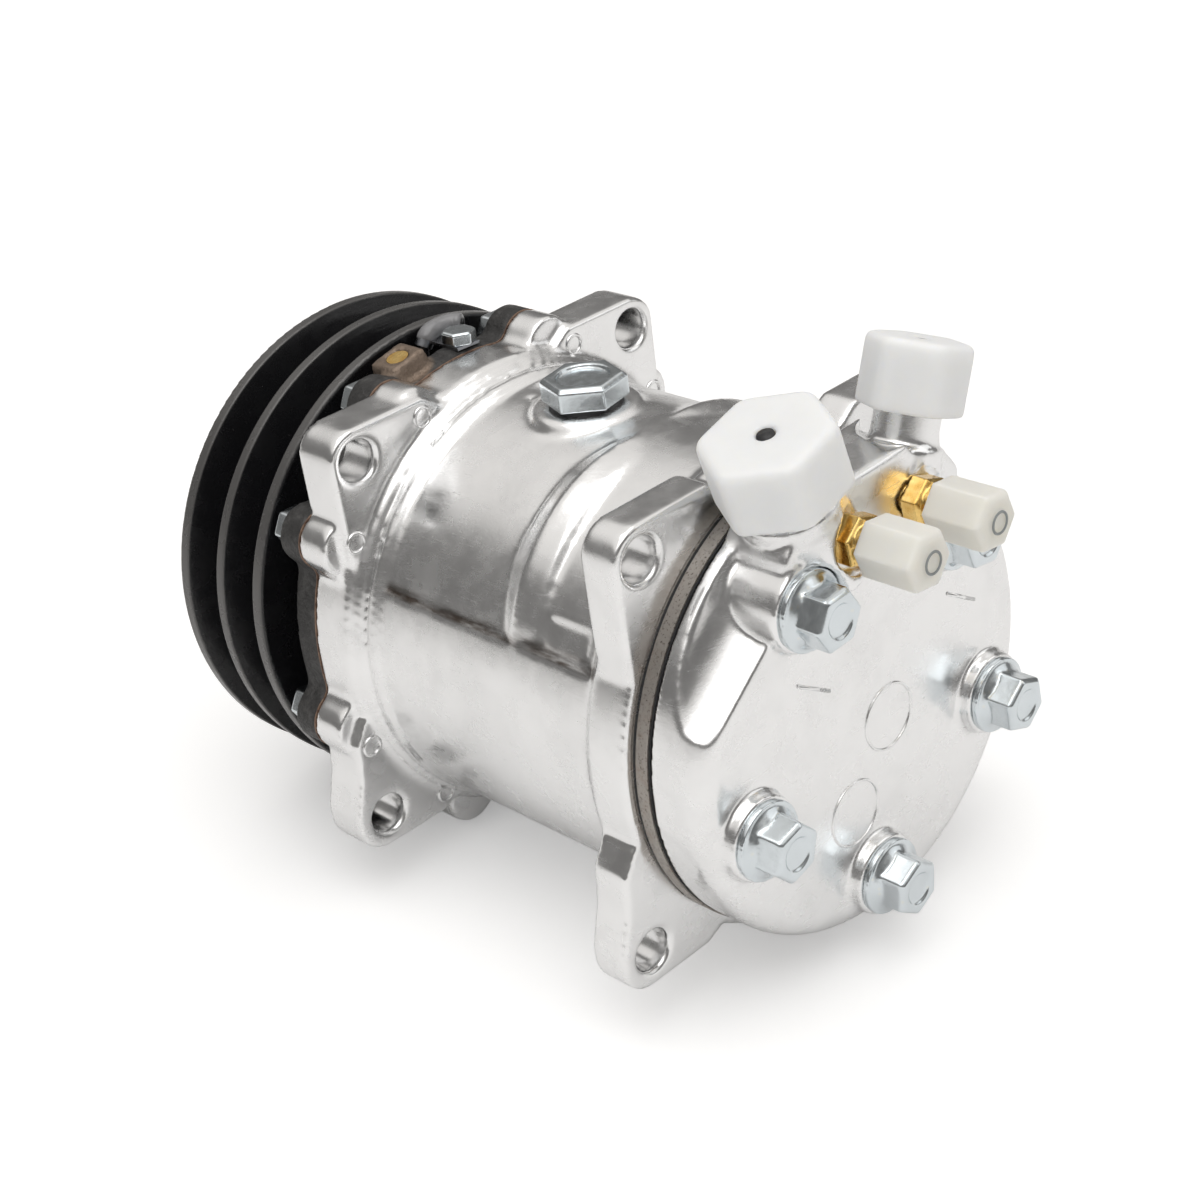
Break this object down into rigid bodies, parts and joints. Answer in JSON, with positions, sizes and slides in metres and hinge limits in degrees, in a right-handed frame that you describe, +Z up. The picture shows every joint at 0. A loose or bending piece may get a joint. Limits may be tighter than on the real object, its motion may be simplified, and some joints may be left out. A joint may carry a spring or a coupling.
{
  "type": "automotive air-conditioning compressor",
  "caption": "Axial wobble-plate refrigerant compressor with a grooved magnetic-clutch pulley, side mounting ears, a rear cylinder head and two capped hose ports.",
  "frame": {"origin": "on the shaft axis, in the plane of the rear faces of the front mounting ears", "axes": "+Y along the shaft from the clutch pulley to the cylinder head, +Z up through the oil plug, +X to the left side seen from the pulley end's driver looking rearwards"},
  "size_m": [0.1372, 0.2215, 0.1493],
  "materials": {
    "cast_aluminium": "tumbled die-cast aluminium, bright satin",
    "machined_aluminium": "turned aluminium, bright",
    "dark_casting": "rough dark grey sprayed casting",
    "pulley_black": "satin black e-coat, worn bright on the rims",
    "plate_steel": "ground steel with light surface rust",
    "bright_steel": "ground and hardened steel",
    "spring_steel": "dark spring steel",
    "zinc_bolt": "blue-white zinc plate",
    "copper_gasket": "copper-brown coated gasket",
    "black_gasket": "black rubber-coated gasket",
    "seal_rubber": "black moulded rubber",
    "valve_brass": "machined brass",
    "cap_white": "frosted white polyethylene",
    "cap_clear": "milky translucent polyethylene",
    "coil_black": "black potted steel shell",
    "lead_sleeve": "grey cable sleeve"
  },
  "bodies": {
    "root": {"cylinder_block": "cast_aluminium", "front_housing": "dark_casting", "front_gasket": "copper_gasket", "front_housing_bolts": "zinc_bolt", "housing_port_plug": "valve_brass", "block_gasket": "black_gasket", "suction_reeds": "plate_steel", "valve_plate": "plate_steel", "discharge_reeds": "plate_steel", "head_gasket": "black_gasket", "cylinder_head": "cast_aluminium", "head_bolts": "zinc_bolt", "oil_plug": "zinc_bolt", "oil_plug_seal": "seal_rubber", "service_valves": "valve_brass", "clutch_coil": "coil_black", "coil_lead": "lead_sleeve", "lead_clamp": "spring_steel", "lead_clamp_screw": "zinc_bolt", "bearing_inner_race": "bright_steel", "housing_snap_rings": "spring_steel", "shaft_seal": "seal_rubber", "front_needle_bearing": "bright_steel", "fixed_gear": "bright_steel", "centre_ball": "bright_steel", "gear_spring": "spring_steel"},
    "pulley": {"pulley": "pulley_black", "bearing_outer_race": "bright_steel", "pulley_snap_ring": "spring_steel"},
    "bearing_balls": {"bearing_balls": "bright_steel"},
    "shaft": {"drive_shaft": "bright_steel", "cam_rotor": "bright_steel", "clutch_hub": "pulley_black", "hub_key": "bright_steel", "hub_nut": "zinc_bolt", "leaf_springs": "spring_steel"},
    "armature": {"armature_plate": "pulley_black"},
    "front_thrust": {"front_thrust_bearing": "bright_steel"},
    "plate_thrust": {"plate_thrust_bearing": "bright_steel"},
    "wobble_plate": {"wobble_plate": "machined_aluminium", "planet_gear": "bright_steel"},
    "seat_1": {"ball_seat_1": "valve_brass"},
    "rod_1": {"connecting_rod_1": "bright_steel"},
    "piston_1": {"piston_1": "machined_aluminium"},
    "seat_2": {"ball_seat_2": "valve_brass"},
    "rod_2": {"connecting_rod_2": "bright_steel"},
    "piston_2": {"piston_2": "machined_aluminium"},
    "seat_3": {"ball_seat_3": "valve_brass"},
    "rod_3": {"connecting_rod_3": "bright_steel"},
    "piston_3": {"piston_3": "machined_aluminium"},
    "seat_4": {"ball_seat_4": "valve_brass"},
    "rod_4": {"connecting_rod_4": "bright_steel"},
    "piston_4": {"piston_4": "machined_aluminium"},
    "seat_5": {"ball_seat_5": "valve_brass"},
    "rod_5": {"connecting_rod_5": "bright_steel"},
    "piston_5": {"piston_5": "machined_aluminium"},
    "suction_port_cap": {"suction_port_cap": "cap_white"},
    "discharge_port_cap": {"discharge_port_cap": "cap_white"},
    "suction_valve_cap": {"suction_valve_cap": "cap_clear"},
    "discharge_valve_cap": {"discharge_valve_cap": "cap_clear"}
  },
  "joints": [
    {"name": "shaft_spin", "type": "hinge", "parent": "root", "child": "shaft", "pos_m": [0, 0, 0], "axis": [0, 1, 0], "continuous": true},
    {"name": "pulley_spin", "type": "hinge", "parent": "root", "child": "pulley", "pos_m": [0, -0.049, 0], "axis": [0, 1, 0], "continuous": true},
    {"name": "ball_orbit", "type": "hinge", "parent": "root", "child": "bearing_balls", "pos_m": [0, -0.049, 0], "axis": [0, 1, 0], "continuous": true},
    {"name": "armature_pull", "type": "slide", "parent": "shaft", "child": "armature", "axis": [0, 1, 0], "range_m": [0, 0.0005], "stiffness_N_per_m": 20000},
    {"name": "front_thrust_orbit", "type": "hinge", "parent": "root", "child": "front_thrust", "pos_m": [0, -0.0145, 0], "axis": [0, 1, 0], "continuous": true},
    {"name": "plate_thrust_orbit", "type": "hinge", "parent": "shaft", "child": "plate_thrust", "pos_m": [0, 0.026, 0], "axis": [0, 0.9205, -0.3907], "continuous": true},
    {"name": "plate_nutation", "type": "hinge", "parent": "shaft", "child": "wobble_plate", "pos_m": [0, 0.026, 0], "axis": [0, 0.9205, -0.3907], "continuous": true},
    {"name": "seat_swivel_1", "type": "hinge", "parent": "wobble_plate", "child": "seat_1", "pos_m": [-0.00255, 0.04027, 0.03361], "axis": [0, 0.9205, -0.3907], "continuous": true},
    {"name": "rod_swivel_1", "type": "hinge", "parent": "seat_1", "child": "rod_1", "pos_m": [-0.00255, 0.04027, 0.03361], "axis": [0, 1, 0], "continuous": true},
    {"name": "piston_swivel_1", "type": "hinge", "parent": "rod_1", "child": "piston_1", "pos_m": [-0.00245, 0.08527, 0.03506], "axis": [0, 1, 0], "continuous": true},
    {"name": "seat_swivel_2", "type": "hinge", "parent": "wobble_plate", "child": "seat_2", "pos_m": [-0.03551, 0.02946, 0.00815], "axis": [0, 0.9205, -0.3907], "continuous": true},
    {"name": "rod_swivel_2", "type": "hinge", "parent": "seat_2", "child": "rod_2", "pos_m": [-0.03551, 0.02946, 0.00815], "axis": [0, 1, 0], "continuous": true},
    {"name": "piston_swivel_2", "type": "hinge", "parent": "rod_2", "child": "piston_2", "pos_m": [-0.0341, 0.07446, 0.0085], "axis": [0, 1, 0], "continuous": true},
    {"name": "seat_swivel_3", "type": "hinge", "parent": "wobble_plate", "child": "seat_3", "pos_m": [-0.01939, 0.01387, -0.02857], "axis": [0, 0.9205, -0.3907], "continuous": true},
    {"name": "rod_swivel_3", "type": "hinge", "parent": "seat_3", "child": "rod_3", "pos_m": [-0.01939, 0.01387, -0.02857], "axis": [0, 1, 0], "continuous": true},
    {"name": "piston_swivel_3", "type": "hinge", "parent": "rod_3", "child": "piston_3", "pos_m": [-0.01862, 0.05887, -0.0298], "axis": [0, 1, 0], "continuous": true},
    {"name": "seat_swivel_4", "type": "hinge", "parent": "wobble_plate", "child": "seat_4", "pos_m": [0.02352, 0.01505, -0.02581], "axis": [0, 0.9205, -0.3907], "continuous": true},
    {"name": "rod_swivel_4", "type": "hinge", "parent": "seat_4", "child": "rod_4", "pos_m": [0.02352, 0.01505, -0.02581], "axis": [0, 1, 0], "continuous": true},
    {"name": "piston_swivel_4", "type": "hinge", "parent": "rod_4", "child": "piston_4", "pos_m": [0.02259, 0.06005, -0.02692], "axis": [0, 1, 0], "continuous": true},
    {"name": "seat_swivel_5", "type": "hinge", "parent": "wobble_plate", "child": "seat_5", "pos_m": [0.03393, 0.03136, 0.01262], "axis": [0, 0.9205, -0.3907], "continuous": true},
    {"name": "rod_swivel_5", "type": "hinge", "parent": "seat_5", "child": "rod_5", "pos_m": [0.03393, 0.03136, 0.01262], "axis": [0, 1, 0], "continuous": true},
    {"name": "piston_swivel_5", "type": "hinge", "parent": "rod_5", "child": "piston_5", "pos_m": [0.03258, 0.07636, 0.01316], "axis": [0, 1, 0], "continuous": true},
    {"name": "suction_port_cap_lift", "type": "slide", "parent": "root", "child": "suction_port_cap", "axis": [0.2756, 0, 0.9613], "range_m": [0, 0.03]},
    {"name": "discharge_port_cap_lift", "type": "slide", "parent": "root", "child": "discharge_port_cap", "axis": [-0.3584, 0, 0.9336], "range_m": [0, 0.03]},
    {"name": "suction_valve_cap_lift", "type": "slide", "parent": "root", "child": "suction_valve_cap", "axis": [0, 1, 0], "range_m": [0, 0.03]},
    {"name": "discharge_valve_cap_lift", "type": "slide", "parent": "root", "child": "discharge_valve_cap", "axis": [0, 1, 0], "range_m": [0, 0.03]}
  ],
  "couplings": [
    {"joint": "ball_orbit", "follows": "pulley_spin", "ratio": 0.57778},
    {"joint": "front_thrust_orbit", "follows": "shaft_spin", "ratio": 0.5},
    {"joint": "plate_thrust_orbit", "follows": "shaft_spin", "ratio": -0.5},
    {"joint": "plate_nutation", "follows": "shaft_spin", "ratio": -1},
    {"joint": "seat_swivel_1", "follows": "shaft_spin", "ratio": 1},
    {"joint": "rod_swivel_1", "follows": "shaft_spin", "ratio": 1},
    {"joint": "piston_swivel_1", "follows": "shaft_spin", "ratio": -2},
    {"joint": "seat_swivel_2", "follows": "shaft_spin", "ratio": 1},
    {"joint": "rod_swivel_2", "follows": "shaft_spin", "ratio": 1},
    {"joint": "piston_swivel_2", "follows": "shaft_spin", "ratio": -2},
    {"joint": "seat_swivel_3", "follows": "shaft_spin", "ratio": 1},
    {"joint": "rod_swivel_3", "follows": "shaft_spin", "ratio": 1},
    {"joint": "piston_swivel_3", "follows": "shaft_spin", "ratio": -2},
    {"joint": "seat_swivel_4", "follows": "shaft_spin", "ratio": 1},
    {"joint": "rod_swivel_4", "follows": "shaft_spin", "ratio": 1},
    {"joint": "piston_swivel_4", "follows": "shaft_spin", "ratio": -2},
    {"joint": "seat_swivel_5", "follows": "shaft_spin", "ratio": 1},
    {"joint": "rod_swivel_5", "follows": "shaft_spin", "ratio": 1},
    {"joint": "piston_swivel_5", "follows": "shaft_spin", "ratio": -2}
  ]
}
